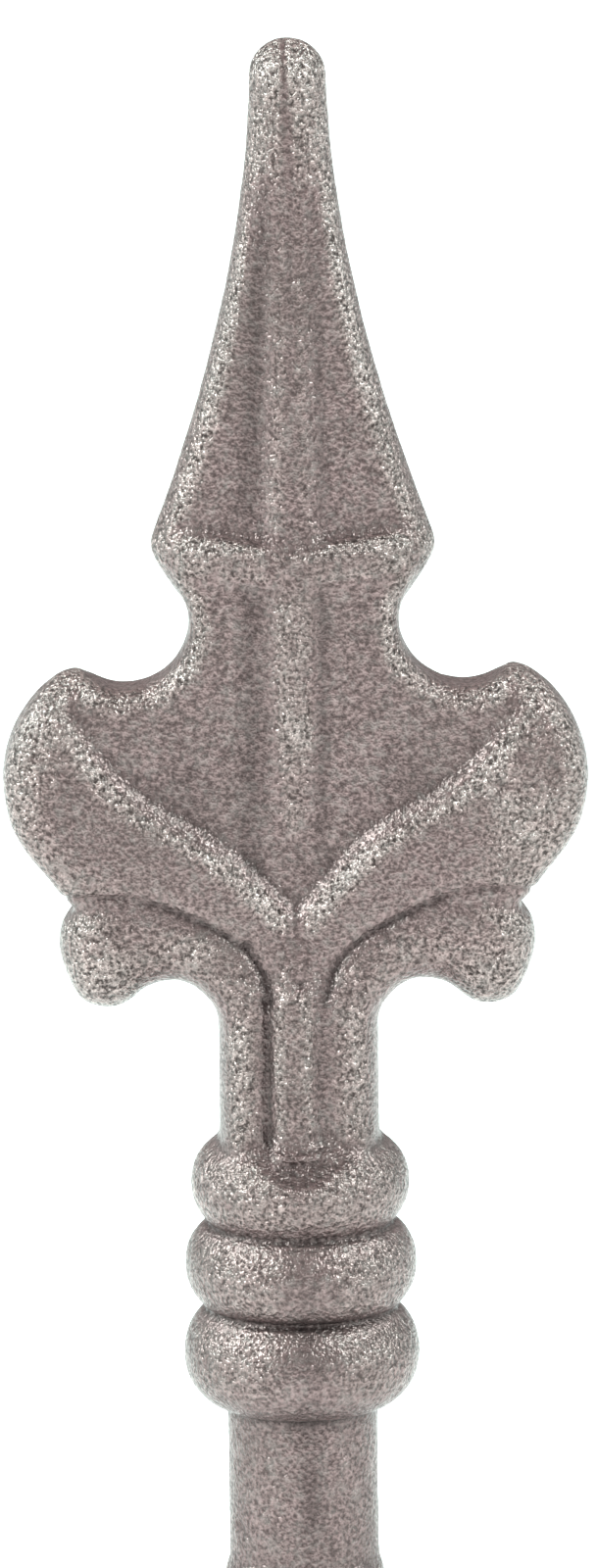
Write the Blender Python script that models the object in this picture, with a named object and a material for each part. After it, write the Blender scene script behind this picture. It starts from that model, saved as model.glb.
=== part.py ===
"""Cast fence finial: a blunt spear over a four-lobed leaf, a bundled stem, three rings and a round shank.

It is one casting, so it is one solid. The origin is the centre of the flat underside of the shank, +Z is up
along the axis, X runs across the leaf and the face shown points to -Y. Front and back are alike.
"""

import math

import bmesh
import bpy

MM = 0.001

# Shank and its rolled foot
SHANK_RADIUS = 8.0 * MM
FOOT_HEIGHT = 3.6 * MM
FOOT_LIP = 0.6 * MM
SHANK_LENGTH = 20.5 * MM

# Rings, from the lowest one up: how far each stands out past the shank, and its height.
# A fullness of 2 makes a ring's section elliptic, and more of it squarer
RING_PROUD = (4.7 * MM, 4.5 * MM, 3.8 * MM)
RING_HEIGHT = (12.4 * MM, 11.3 * MM, 10.4 * MM)
RING_PITCH = (9.75 * MM, 8.95 * MM)
RING_BULGE = 6.3 * MM
RING_FULLNESS = 2.12

# Stem: two rods with a bead between them
STEM_HALF_WIDTH = 8.55 * MM
STEM_LENGTH = 15.0 * MM
ROD_DEPTH = 7.1 * MM
BEAD_HALF_WIDTH = 2.6 * MM
BEAD_DEPTH = 7.7 * MM
BEAD_SHIFT = -0.5 * MM
CHANNEL_WIDTH = 0.8 * MM
CORE_DEPTH = 6.0 * MM
POCKET_HALF_SIZE = (4.2 * MM, 1.8 * MM, 1.6 * MM)
POCKET_RISE = 0.33

# Leaf: everything between the stem and the bar under the spear. The casting's V is a little uneven,
# so each arm has its own lift
LEAF_HALF_WIDTH = 31.5 * MM
LEAF_HEIGHT = 49.0 * MM
FIELD_DEPTH = 4.6 * MM
FIELD_EDGE = 2.2 * MM
LOBE_DEPTH = 6.3 * MM
RIGHT_ARM_LIFT = 0.9 * MM
LEFT_ARM_LIFT = -0.5 * MM
CURL_DEPTH = 5.9 * MM
RIB_HALF_WIDTH = 3.0 * MM
LEAF_RIB_DEPTH = 5.4 * MM

# Bar and spear
BAR_HALF_HEIGHT = 2.6 * MM
BAR_DEPTH = 5.5 * MM
BAR_SAG = 1.6 * MM
SHOULDER_RISE = 2.05 * MM
SPEAR_HEIGHT = 54.4 * MM
SHOULDER_HALF_WIDTH = 15.4 * MM
TIP_RADIUS = 4.1 * MM
TIP_DEPTH = 3.9 * MM
SPEAR_RIB_DEPTH = 4.8 * MM
PANEL_DEPTH = 3.7 * MM
RIM_WIDTH = 2.2 * MM
SPEAR_SWEEP = 1.75

ROUND_SIDES = 36
LEVEL_GAP = 0.25 * MM
SECTION_STEPS = 5
PATH_STEPS = 2

# Levels up the axis
RING_3_Z = SHANK_LENGTH + RING_HEIGHT[0] / 2
RING_2_Z = RING_3_Z + RING_PITCH[0]
RING_1_Z = RING_2_Z + RING_PITCH[1]
STEM_Z = RING_1_Z + 0.4 * RING_HEIGHT[2]
LEAF_Z = STEM_Z + STEM_LENGTH
SHOULDER_Z = LEAF_Z + LEAF_HEIGHT + SHOULDER_RISE
TIP_Z = SHOULDER_Z + SPEAR_HEIGHT


def mix(a, b, share):
    return a + (b - a) * share


def ease(low, high, value):
    """0 below low, 1 above high, with a smooth step between them."""
    share = min(max((value - low) / (high - low), 0.0), 1.0)
    return share * share * (3 - 2 * share)


def smooth_path(rows, steps):
    """Rows of numbers with steps - 1 more rows between each two, on a curve through them all."""
    last = len(rows) - 1
    path = []
    for i in range(last):
        before, start, end, after = (rows[min(max(i + k, 0), last)] for k in (-1, 0, 1, 2))
        for step in range(steps):
            t = step / steps
            path.append(
                [
                    0.5 * (2 * b + (c - a) * t + (2 * a - 5 * b + 4 * c - d) * t**2
                           + (3 * b - a - 3 * c + d) * t**3)
                    for a, b, c, d in zip(before, start, end, after)
                ]
            )
    path.append(list(rows[last]))
    return path


def mesh_object(name, bm):
    """The bmesh as a new object, its faces pointing out and its round stretches smooth."""
    bmesh.ops.recalc_face_normals(bm, faces=bm.faces)
    mesh = bpy.data.meshes.new(name)
    bm.to_mesh(mesh)
    bm.free()
    mesh.shade_smooth()
    mesh.set_sharp_from_angle(angle=math.radians(40))
    made = bpy.data.objects.new(name, mesh)
    bpy.context.scene.collection.objects.link(made)
    return made


def loft(name, rings):
    """A closed skin through rings of points, with a flat end on the first and the last."""
    bm = bmesh.new()
    loops = [[bm.verts.new(point) for point in ring] for ring in rings]
    count = len(loops[0])
    for below, above in zip(loops, loops[1:]):
        for i in range(count):
            j = (i + 1) % count
            bm.faces.new((below[i], below[j], above[j], above[i]))
    ends = [bm.faces.new(loops[0]), bm.faces.new(loops[-1])]
    bmesh.ops.triangulate(bm, faces=ends)
    return mesh_object(name, bm)


def ladder(name, rungs, square_upper=2.0, square_lower=2.0):
    """A limb whose rungs are (upper x, z, lower x, z, half depth), rounded between its two edges.

    A squareness of 2 gives an ellipse, and more of it a fuller edge with a steeper side.
    """
    rings = []
    for upper_x, upper_z, lower_x, lower_z, depth in smooth_path(rungs, PATH_STEPS):
        mid_x = (upper_x + lower_x) / 2
        mid_z = (upper_z + lower_z) / 2
        ring = []
        for step in range(4 * SECTION_STEPS):
            turn = math.pi / 2 * (step + 0.5) / SECTION_STEPS
            across = math.cos(turn)
            out = math.sin(turn)
            square = square_upper if across > 0 else square_lower
            along = math.copysign(abs(across) ** (2 / square), across)
            rise = math.copysign(abs(out) ** (2 / square), out)
            ring.append(
                (
                    mid_x + (upper_x - mid_x) * along,
                    -depth * rise,
                    mid_z + (upper_z - mid_z) * along,
                )
            )
        rings.append(ring)
    return loft(name, rings)


def leaf_point(x_share, z_share):
    """A place on the leaf, as shares of its half width and its height."""
    return LEAF_HALF_WIDTH * x_share, LEAF_Z + LEAF_HEIGHT * z_share


def leaf_rung(upper, lower, depth):
    return (*leaf_point(*upper), *leaf_point(*lower), depth)


def mirrored(rungs):
    return [(-ux, uz, -lx, lz, depth) for ux, uz, lx, lz, depth in rungs]


def ring_radius(ring, z):
    """The radius of one ring at a level, or 0 above and below it."""
    centre = (RING_3_Z, RING_2_Z, RING_1_Z)[ring]
    offset = abs(z - centre) / (RING_HEIGHT[ring] / 2)
    if offset >= 1:
        return 0.0
    bulge = RING_BULGE + (RING_PROUD[ring] - RING_PROUD[1])
    fall = 1 - (1 - offset**RING_FULLNESS) ** (1 / RING_FULLNESS)
    return SHANK_RADIUS + RING_PROUD[ring] - bulge * fall


def turned_radius(z):
    if z < FOOT_HEIGHT:
        return SHANK_RADIUS + FOOT_LIP * math.sqrt(1 - (z / FOOT_HEIGHT) ** 4)
    return max(SHANK_RADIUS, *(ring_radius(ring, z) for ring in range(3)))


def turned_base():
    """Shank, rolled foot and rings, as one turned profile."""
    levels = [FOOT_HEIGHT * share for share in (0, 0.45, 0.8, 1)]
    centres = (RING_3_Z, RING_2_Z, RING_1_Z)
    steps = 8
    for centre, height in zip(centres, RING_HEIGHT):
        for step in range(steps + 1):
            levels.append(centre - height / 2 * math.cos(math.pi * step / steps))
    for low, high in zip(centres, centres[1:]):
        levels.append(min((mix(low, high, i / 100) for i in range(101)), key=turned_radius))
    levels.sort()
    levels = [level for level, after in zip(levels, levels[1:] + [math.inf]) if after - level > LEVEL_GAP]
    rings = []
    for level in levels:
        radius = turned_radius(level)
        turns = [2 * math.pi * i / ROUND_SIDES for i in range(ROUND_SIDES)]
        rings.append([(radius * math.cos(t), radius * math.sin(t), level) for t in turns])
    return loft("turned_base", rings)


def rod(side):
    """One side rod of the stem, which runs out at the top into a curl. side is 1 at right and -1 at left."""
    inner = side * BEAD_SHIFT + BEAD_HALF_WIDTH + CHANNEL_WIDTH / 2
    bend = LEAF_Z - 0.2 * STEM_LENGTH
    foot = RING_1_Z - 0.05 * RING_HEIGHT[2]
    rungs = [(inner, z, STEM_HALF_WIDTH, z, ROD_DEPTH) for z in (foot, STEM_Z, bend)]
    for upper, lower, fullness in (
        ((0.085, 0.035), (0.272, -0.020), 1.18),
        ((0.130, 0.114), (0.293, 0.015), 1.12),
        ((0.232, 0.180), (0.362, 0.058), 1.05),
        ((0.414, 0.244), (0.435, 0.069), 1.0),
        ((0.560, 0.266), (0.520, 0.054), 1.0),
        ((0.672, 0.270), (0.585, 0.020), 1.0),
        ((0.730, 0.252), (0.650, 0.007), 0.95),
        ((0.776, 0.220), (0.737, 0.024), 0.80),
        ((0.805, 0.190), (0.785, 0.078), 0.50),
        ((0.815, 0.155), (0.812, 0.125), 0.15),
    ):
        rungs.append(leaf_rung(upper, lower, fullness * CURL_DEPTH))
    name = "right_curl" if side > 0 else "left_curl"
    return ladder(name, rungs if side > 0 else mirrored(rungs), 3.6, 2.3)


def arm_lift(side, x_share):
    """How far one arm of the V lies off its true height, as a share of the leaf's height."""
    lift = RIGHT_ARM_LIFT if side > 0 else LEFT_ARM_LIFT
    return lift / LEAF_HEIGHT * ease(0.0, 0.2, x_share) * (1 - ease(0.66, 0.75, x_share))


def lobe(side):
    """One upper lobe. It leaves the head of the bead and its upper edge is one arm of the raised V."""
    rungs = []
    for upper, lower, fullness in (
        ((-0.095, 0.060), (0.050, -0.020), 0.95),
        ((-0.080, 0.168), (0.135, 0.084), 1.0),
        ((0.062, 0.275), (0.197, 0.125), 1.0),
        ((0.240, 0.390), (0.347, 0.192), 1.0),
        ((0.420, 0.465), (0.610, 0.240), 1.0),
        ((0.535, 0.515), (0.764, 0.243), 1.0),
        ((0.615, 0.563), (0.856, 0.303), 0.98),
        ((0.672, 0.612), (0.930, 0.362), 0.95),
        ((0.712, 0.655), (0.980, 0.429), 0.92),
        ((0.750, 0.690), (1.000, 0.530), 0.86),
        ((0.745, 0.725), (0.962, 0.626), 0.74),
        ((0.728, 0.749), (0.885, 0.703), 0.54),
        ((0.735, 0.762), (0.800, 0.752), 0.22),
    ):
        lifted = (upper[0], upper[1] + arm_lift(side, upper[0]))
        rungs.append(leaf_rung(lifted, lower, fullness * LOBE_DEPTH))
    name = "right_lobe" if side > 0 else "left_lobe"
    return ladder(name, rungs if side > 0 else mirrored(rungs), 4.0, 3.0)


def bead():
    """The bead on the axis between the rods, its head lost in the root of the V."""
    rungs = []
    for z, spread, depth in (
        (RING_1_Z - 0.12 * RING_HEIGHT[2], 1.0, BEAD_DEPTH),
        (STEM_Z, 1.0, BEAD_DEPTH),
        (LEAF_Z, 1.0, BEAD_DEPTH),
        (LEAF_Z + 0.08 * LEAF_HEIGHT, 0.95, mix(BEAD_DEPTH, LOBE_DEPTH, 0.5)),
        (LEAF_Z + 0.17 * LEAF_HEIGHT, 0.7, 0.98 * LOBE_DEPTH),
    ):
        half = BEAD_HALF_WIDTH * spread
        rungs.append((BEAD_SHIFT + half, z, BEAD_SHIFT - half, z, depth))
    return ladder("bead", rungs, 3.6, 3.6)


def stem_core():
    """What fills the stem behind its channels."""
    half = STEM_HALF_WIDTH - 1.2 * MM
    top = LEAF_Z + 0.14 * LEAF_HEIGHT
    rungs = [(half, z, -half, z, CORE_DEPTH) for z in (RING_1_Z - 0.2 * RING_HEIGHT[2], STEM_Z, LEAF_Z)]
    rungs.append((0.8 * half, top, -0.8 * half, top, CORE_DEPTH * 0.9))
    return ladder("stem_core", rungs, 2.6, 2.6)


def field_outline():
    """Right half of the neck and field, from the bar down: a round notch, then a line hidden in the lobe."""
    centre_x, centre_z = leaf_point(0.580, 0.865)
    radius = 0.225 * LEAF_HALF_WIDTH
    start = math.radians(140)
    end = math.radians(307)
    steps = 14
    points = [(centre_x + radius * math.cos(start), SHOULDER_Z - 0.7 * BAR_HALF_HEIGHT)]
    for step in range(steps + 1):
        turn = mix(start, end, step / steps)
        points.append((centre_x + radius * math.cos(turn), centre_z + radius * math.sin(turn)))
    for share in ((0.785, 0.705), (0.80, 0.64), (0.75, 0.52), (0.55, 0.37), (0.28, 0.22)):
        points.append(leaf_point(*share))
    return points


def field():
    """The flat neck and field, a plate with a rounded edge."""
    right = field_outline()
    outline = right + [leaf_point(0, 0.14)] + [(-x, z) for x, z in reversed(right)]
    count = len(outline)
    inward = []
    for i in range(count):
        before = outline[i - 1]
        after = outline[(i + 1) % count]
        run = math.dist(before, after)
        inward.append(((after[1] - before[1]) / run, (before[0] - after[0]) / run))
    steps = 4
    profile = []
    for step in range(steps + 1):
        turn = math.pi / 2 * step / steps
        profile.append((FIELD_EDGE * (1 - math.sin(turn)), FIELD_DEPTH - FIELD_EDGE * (1 - math.cos(turn))))
    rings = []
    for face, edge in ((-1, profile), (1, profile[::-1])):
        for inset, depth in edge:
            rings.append([(x + nx * inset, face * depth, z + nz * inset)
                          for (x, z), (nx, nz) in zip(outline, inward)])
    return loft("field", rings)


def leaf_rib():
    """The midrib on the neck, which fades out above the root of the V."""
    rungs = []
    for z_share, width, depth in (
        (1.0, 1.0, LEAF_RIB_DEPTH),
        (0.80, 1.0, LEAF_RIB_DEPTH),
        (0.62, 0.95, mix(FIELD_DEPTH, LEAF_RIB_DEPTH, 0.8)),
        (0.45, 0.85, mix(FIELD_DEPTH, LEAF_RIB_DEPTH, 0.4)),
        (0.33, 0.7, 0.95 * FIELD_DEPTH),
    ):
        x, z = leaf_point(0, z_share)
        rungs.append((RIB_HALF_WIDTH * width, z, -RIB_HALF_WIDTH * width, z, depth))
    return ladder("leaf_rib", rungs, 3.2, 3.2)


def bar():
    """The raised bar under the spear. It sags to a shallow V at the axis."""
    middle = SHOULDER_Z - BAR_HALF_HEIGHT * 0.25
    rungs = []
    for share in (-1, -0.8, -0.4, 0, 0.4, 0.8, 1):
        x = share * (SHOULDER_HALF_WIDTH - 0.9 * MM)
        z = middle - BAR_SAG * (1 - abs(share))
        half = BAR_HALF_HEIGHT * (0.5 if abs(share) == 1 else 1.0)
        depth = BAR_DEPTH * (0.3 if abs(share) == 1 else 0.9 if abs(share) == 0.8 else 1.0)
        rungs.append((x, z + half, x, z - half, depth))
    return ladder("bar", rungs, 3.6, 3.6)


def spear_half_width(z):
    """Swept in from the shoulder to the tip, with a small round at the shoulder."""
    rise = (z - SHOULDER_Z) / (SPEAR_HEIGHT - TIP_RADIUS)
    return mix(TIP_RADIUS, SHOULDER_HALF_WIDTH, (1 - min(rise, 1.0)) ** SPEAR_SWEEP)


def spear_section(half_width, rib_depth, panel_depth, rim, rib_half, roundness, z):
    """One level of the spear: a rounded rib between flat panels with bevelled rims, or near the tip an oval."""
    lift = rib_depth - panel_depth
    inner = min(rib_half * 1.25, half_width - rim - 0.2 * MM)
    quarter = [
        (0.0, rib_depth),
        (0.40 * inner, panel_depth + 0.90 * lift),
        (0.75 * inner, panel_depth + 0.45 * lift),
        (inner, panel_depth),
        (mix(inner, half_width - rim, 0.55), 0.97 * panel_depth),
        (half_width - rim, 0.97 * panel_depth),
        (half_width - 0.50 * rim, 0.78 * panel_depth),
        (half_width - 0.14 * rim, 0.42 * panel_depth),
        (half_width, 0.0),
    ]
    last = len(quarter) - 1
    shaped = []
    for i, (x, depth) in enumerate(quarter):
        turn = math.pi / 2 * i / last
        oval_x = half_width * math.sin(turn)
        oval_depth = rib_depth * math.cos(turn)
        shaped.append((mix(x, oval_x, roundness), mix(depth, oval_depth, roundness)))
    front = [(-x, -depth) for x, depth in reversed(shaped)] + [(x, -depth) for x, depth in shaped[1:]]
    back = [(x, -depth) for x, depth in reversed(front[1:-1])]
    return [(x, y, z) for x, y in front + back]


def spear():
    """The spear, from under the bar to its blunt tip."""
    rings = []
    foot = SHOULDER_Z - 2.3 * BAR_HALF_HEIGHT
    for level, share in ((0.0, 0.79), (0.45, 0.91), (0.72, 0.97), (0.90, 0.998)):
        z = mix(foot, SHOULDER_Z, level)
        rings.append(
            spear_section(share * SHOULDER_HALF_WIDTH, SPEAR_RIB_DEPTH, PANEL_DEPTH, RIM_WIDTH,
                          RIB_HALF_WIDTH, 0.0, z)
        )
    dome = TIP_Z - TIP_RADIUS
    steps = 13
    for step in range(steps + 1):
        z = mix(SHOULDER_Z + 0.5 * MM, dome, step / steps)
        rise = (z - SHOULDER_Z) / SPEAR_HEIGHT
        width = spear_half_width(z)
        rib_depth = mix(SPEAR_RIB_DEPTH, TIP_DEPTH, ease(0.1, 0.9, rise))
        rim = RIM_WIDTH * mix(1.0, 0.6, ease(0.0, 0.7, rise))
        rib_half = RIB_HALF_WIDTH * mix(1.0, 0.75, rise)
        rings.append(
            spear_section(width, rib_depth, PANEL_DEPTH, rim, rib_half, ease(0.55, 0.85, rise), z)
        )
    for step in range(1, 5):
        turn = math.radians(90) * step / 4.4
        width = TIP_RADIUS * math.cos(turn)
        depth = TIP_DEPTH * math.cos(turn)
        rings.append(
            spear_section(width, depth, PANEL_DEPTH, RIM_WIDTH, RIB_HALF_WIDTH, 1.0,
                          dome + TIP_RADIUS * math.sin(turn))
        )
    return loft("spear", rings)


def pocket(side):
    """Cutter for the hollow at the foot of the bead, above the top ring. side is -1 at the front, 1 at the back."""
    bm = bmesh.new()
    bmesh.ops.create_uvsphere(bm, u_segments=20, v_segments=12, radius=1.0)
    bmesh.ops.scale(bm, vec=POCKET_HALF_SIZE, verts=bm.verts)
    level = RING_1_Z + POCKET_RISE * RING_HEIGHT[2]
    bmesh.ops.translate(bm, vec=(0, side * (BEAD_DEPTH + 1.1 * MM), level), verts=bm.verts)
    return mesh_object("front_pocket" if side < 0 else "back_pocket", bm)


def combine(body, others, operation):
    """Joins the others to the body, or cuts them from it, in one step."""
    group = bpy.data.collections.new(operation.lower())
    bpy.context.scene.collection.children.link(group)
    for other in others:
        other.hide_render = True
        other.display_type = "WIRE"
        bpy.context.scene.collection.objects.unlink(other)
        group.objects.link(other)
    modifier = body.modifiers.new(group.name, "BOOLEAN")
    modifier.operation = operation
    modifier.solver = "MANIFOLD"
    modifier.operand_type = "COLLECTION"
    modifier.collection = group


def cast_metal():
    material = bpy.data.materials.new("raw_cast_metal")
    material.use_nodes = True
    shader = material.node_tree.nodes["Principled BSDF"]
    shader.inputs["Base Color"].default_value = (0.30, 0.25, 0.245, 1.0)
    shader.inputs["Metallic"].default_value = 0.6
    shader.inputs["Roughness"].default_value = 0.6
    return material


def main():
    for old in list(bpy.data.objects):
        bpy.data.objects.remove(old)
    finial = turned_base()
    finial.name = "finial"
    limbs = [stem_core(), bead(), rod(1), rod(-1), lobe(1), lobe(-1), field(), leaf_rib(), bar(), spear()]
    combine(finial, limbs, "UNION")
    combine(finial, [pocket(-1), pocket(1)], "DIFFERENCE")
    finial.data.materials.append(cast_metal())


main()
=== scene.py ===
"""Cast fence finial, dressed for a studio picture: its fine form, blasted skin, floor, light and camera."""

import math

import bmesh
import bpy
import numpy as np
from mathutils import Matrix, Vector


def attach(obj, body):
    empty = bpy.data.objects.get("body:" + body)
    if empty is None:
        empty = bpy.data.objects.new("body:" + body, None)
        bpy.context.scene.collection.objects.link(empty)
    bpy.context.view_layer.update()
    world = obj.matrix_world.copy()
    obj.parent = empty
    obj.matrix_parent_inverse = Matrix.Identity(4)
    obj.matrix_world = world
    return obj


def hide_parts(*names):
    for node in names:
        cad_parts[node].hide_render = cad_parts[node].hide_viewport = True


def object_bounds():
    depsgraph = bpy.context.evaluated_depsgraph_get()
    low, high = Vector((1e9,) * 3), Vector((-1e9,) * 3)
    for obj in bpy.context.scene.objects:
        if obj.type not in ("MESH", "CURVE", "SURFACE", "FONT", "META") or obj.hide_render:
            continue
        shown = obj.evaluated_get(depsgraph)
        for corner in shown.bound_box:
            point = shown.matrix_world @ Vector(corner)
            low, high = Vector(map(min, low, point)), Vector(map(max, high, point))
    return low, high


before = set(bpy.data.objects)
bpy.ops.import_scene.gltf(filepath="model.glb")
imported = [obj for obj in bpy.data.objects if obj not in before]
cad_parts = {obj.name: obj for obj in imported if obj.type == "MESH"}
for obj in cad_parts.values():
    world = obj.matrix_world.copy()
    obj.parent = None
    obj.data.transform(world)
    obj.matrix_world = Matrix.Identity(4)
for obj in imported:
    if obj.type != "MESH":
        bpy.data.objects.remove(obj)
cad_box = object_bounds()

MM = 0.001

# Picture frame of the photograph, in its own pixels
PHOTO_WIDTH = 608
PHOTO_HEIGHT = 1600
MM_PER_PIXEL = 0.1053
AXIS_PIXEL_X = 301.5

# Shank, rings and stem
SHANK_RADIUS = 8.0 * MM
FOOT_HEIGHT = 3.6 * MM
FOOT_LIP = 0.6 * MM
SHANK_LENGTH = 20.5 * MM
RING_PROUD = (4.7 * MM, 4.5 * MM, 3.8 * MM)
RING_HEIGHT = (12.4 * MM, 11.3 * MM, 10.4 * MM)
RING_PITCH = (9.75 * MM, 8.95 * MM)
RING_BULGE = 6.3 * MM
RING_FULLNESS = 2.12
RING_TILT = 0.035
STEM_HALF_WIDTH = 8.55 * MM
STEM_LENGTH = 15.0 * MM
ROD_DEPTH = 7.1 * MM
BEAD_HALF_WIDTH = 2.75 * MM
BEAD_DEPTH = 7.7 * MM
BEAD_SHIFT = -0.5 * MM
CHANNEL_WIDTH = 0.3 * MM
CORE_DEPTH = 6.8 * MM
POCKET_HALF_SIZE = (4.9 * MM, 1.5 * MM, 1.6 * MM)
POCKET_RISE = 0.26
POCKET_BOW = 0.06 / MM
# How much painted shade darkens the pocket, over its real dent
POCKET_SHADE = 1.2

# Leaf, bar and spear
LEAF_HALF_WIDTH = 31.5 * MM
LEAF_HEIGHT = 49.0 * MM
SHOULDER_RISE = 2.05 * MM
FIELD_DEPTH = 4.6 * MM
FIELD_EDGE = 2.2 * MM
LOBE_DEPTH = 6.3 * MM
RIGHT_ARM_LIFT = 0.9 * MM
LEFT_ARM_LIFT = -0.5 * MM
GROOVE_LIFT = 0.6 * MM
CURL_DEPTH = 5.9 * MM
RIB_HALF_WIDTH = 3.0 * MM
LEAF_RIB_DEPTH = 5.4 * MM
BAR_HALF_HEIGHT = 2.6 * MM
BAR_DEPTH = 5.5 * MM
BAR_SAG = 1.6 * MM
BAR_SINK = 0.7 * MM
BAR_END_INSET = 0.9 * MM
NECK_SINK = 1.85 * MM
SPEAR_HEIGHT = 54.4 * MM
SHOULDER_HALF_WIDTH = 15.4 * MM
TIP_RADIUS = 4.1 * MM
TIP_DEPTH = 3.9 * MM
SPEAR_RIB_DEPTH = 4.8 * MM
PANEL_DEPTH = 3.7 * MM
RIM_WIDTH = 2.2 * MM
SPEAR_SWEEP = 1.75
SPEAR_FOOT_SINK = 5.95 * MM
PANEL_LEAST = 0.2 * MM

# How finely the forms are drawn before they melt into one skin
ROUND_SIDES = 144
SECTION_STEPS = 14
PATH_STEPS = 8
TURNED_STEP = 0.25 * MM
TURNED_TOP_GAP = 0.05 * MM
SKIN_GRID = 0.42 * MM

# Settings of the cast skin: name, kind of socket, value
SKIN_SETTINGS = (
    ("Fillet Passes", "NodeSocketInt", 6),
    ("Lump Size", "NodeSocketFloat", 5 * MM),
    ("Lump Height", "NodeSocketFloat", 0.10 * MM),
    ("Pit Size", "NodeSocketFloat", 1.6 * MM),
    ("Pit Depth", "NodeSocketFloat", 0.12 * MM),
    ("Seed", "NodeSocketFloat", 3.0),
    ("Swell", "NodeSocketFloat", 0.12 * MM),
    ("Hollow Passes", "NodeSocketInt", 12),
    ("Hollow Depth", "NodeSocketFloat", 0.27 * MM),
)

# Patterns and tones of the iron, each tone from its dark grains to its light ones
GRAIN_SIZE = 0.45 * MM
CLUSTER_SIZE = 1.3 * MM
STAIN_SIZE = 9 * MM
FLAT_TONES = ("#4c3c3c", "#856d6d")
ROUNDED_TONES = ("#302524", "#9f8785")
# Struck tone: real wear on raised edges, lightened further as painted highlight, its light end near-white
# painted glints
STRUCK_AND_HIGHLIGHT_TONES = ("#403534", "#f2e1de")
STAIN_TONE = "#5c4f4d"
CLEAN_TONE = "#887b79"
# Scale in the hollows, dark enough to be painted shade there as well
SCALE_AND_SHADE_TONE = "#2c2222"

# Brightness of the tent in front, and what it gains at the sides, above, and high up behind
FRONT_LIGHT = 0.29
LEFT_LIGHT = 0.55
RIGHT_LIGHT = 0.08
ABOVE_LIGHT = 0.60
BEHIND_LIGHT = 0.90
FRONT_TINT = "#fff6f3"
SIDE_TINT = "#cdf3f0"

# Soft boxes at the sides: name, place in metres, power in watts
SOFT_BOXES = (
    ("left_box", (-1.0, -0.45, 0.95), 34.5),
    ("right_box", (1.0, -0.45, 0.95), 27.0),
    ("left_back_box", (-1.0, 0.45, 0.95), 14.0),
    ("right_back_box", (1.0, 0.45, 0.95), 9.0),
)
BOX_WIDTH = 0.25
BOX_HEIGHT = 0.4
BOX_TINT = "#dcf7f2"
BOX_AIM = (0, 0, 90 * MM)
FLOOR_HALF_SIZE = 30.0

# Camera, as fitted to the photograph
CAMERA_DISTANCE = 2.0
CAMERA_DOWN = math.radians(11.0)
CAMERA_LEAN = math.radians(0.67)
AIM_HEIGHT = 88.9 * MM

# Lines on each half of the leaf, as shares of its half width and height
V_RIDGE = ((0.020, 0.222), (0.050, 0.248), (0.131, 0.318), (0.268, 0.383), (0.409, 0.440), (0.548, 0.499),
           (0.702, 0.616), (0.735, 0.665))
CURL_GROOVE = ((0.097, 0.040), (0.125, 0.100), (0.180, 0.152), (0.320, 0.208), (0.500, 0.256),
               (0.640, 0.269), (0.775, 0.262), (0.830, 0.250))

RING_3_Z = SHANK_LENGTH + RING_HEIGHT[0] / 2
RING_2_Z = RING_3_Z + RING_PITCH[0]
RING_1_Z = RING_2_Z + RING_PITCH[1]
STEM_Z = RING_1_Z + 0.4 * RING_HEIGHT[2]
LEAF_Z = STEM_Z + STEM_LENGTH
SHOULDER_Z = LEAF_Z + LEAF_HEIGHT + SHOULDER_RISE
TIP_Z = SHOULDER_Z + SPEAR_HEIGHT

# Grooves round the base, between the rings and where the lowest one meets the shank: level, half width, depth
RING_GROOVES = (
    ((RING_1_Z + RING_2_Z) / 2 + 0.2 * MM, 0.32 * MM, 0.35 * MM),
    ((RING_2_Z + RING_3_Z) / 2 + 0.25 * MM, 0.32 * MM, 0.35 * MM),
    (SHANK_LENGTH + 0.1 * MM, 0.35 * MM, 0.20 * MM),
)

# Depth of a mark that is painted as dark as a full hollow, with scale and painted shade in its crease
FULL_MARK = 0.40 * MM

# Blow holes on the front, and the shallow hollow at the root of the V: x, z, radius, depth
BLOW_HOLES = (
    (0.3 * MM, LEAF_Z + 3.9 * MM, 0.55 * MM, 0.7 * MM),
    (-5.4 * MM, LEAF_Z + 7.9 * MM, 0.55 * MM, 0.6 * MM),
    (-3.6 * MM, LEAF_Z + 1.7 * MM, 0.55 * MM, 0.5 * MM),
    (0.0, LEAF_Z + 9.0 * MM, 1.6 * MM, 0.25 * MM),
    (-6.9 * MM, 8.0 * MM, 0.4 * MM, 0.4 * MM),
)

# Patches of tone on the front, in mm: x, z, half width, half height, then darkness (the first a real stain
# down the shank, the rest painted shade), or below zero painted highlight
TONE_PATCHES = (
    (0.9, 12.0, 1.6, 7.0, 1.1),
    (0.8, 31.0, 2.6, 9.0, 0.8),
    (0.0, TIP_Z / MM - 4.0, 5.0, 8.0, -0.25),
    (-28.5, 96.0, 3.0, 8.0, -0.35),
    (-11.5, 90.0, 6.0, 8.0, 0.5),
    (11.5, 90.0, 6.0, 8.0, 0.4),
    (24.0, 86.0, 4.5, 5.5, -0.45),
    (-20.5, 69.0, 5.0, 5.0, -0.30),
    (21.5, 70.0, 5.0, 5.0, -0.2),
    (-11.7, 72.6, 4.0, 2.0, -0.3),
    (13.5, 72.6, 4.0, 2.0, -0.2),
    (0.0, 21.5, 7.0, 2.0, 0.6),
    (0.6, 95.5, 2.2, 2.0, -0.35),
)


def mix(a, b, share):
    return a + (b - a) * share


def ease(low, high, value):
    """0 below low, 1 above high, with a smooth step between them. Works on numbers and on arrays."""
    share = np.clip((value - low) / (high - low), 0.0, 1.0)
    return share * share * (3 - 2 * share)


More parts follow.
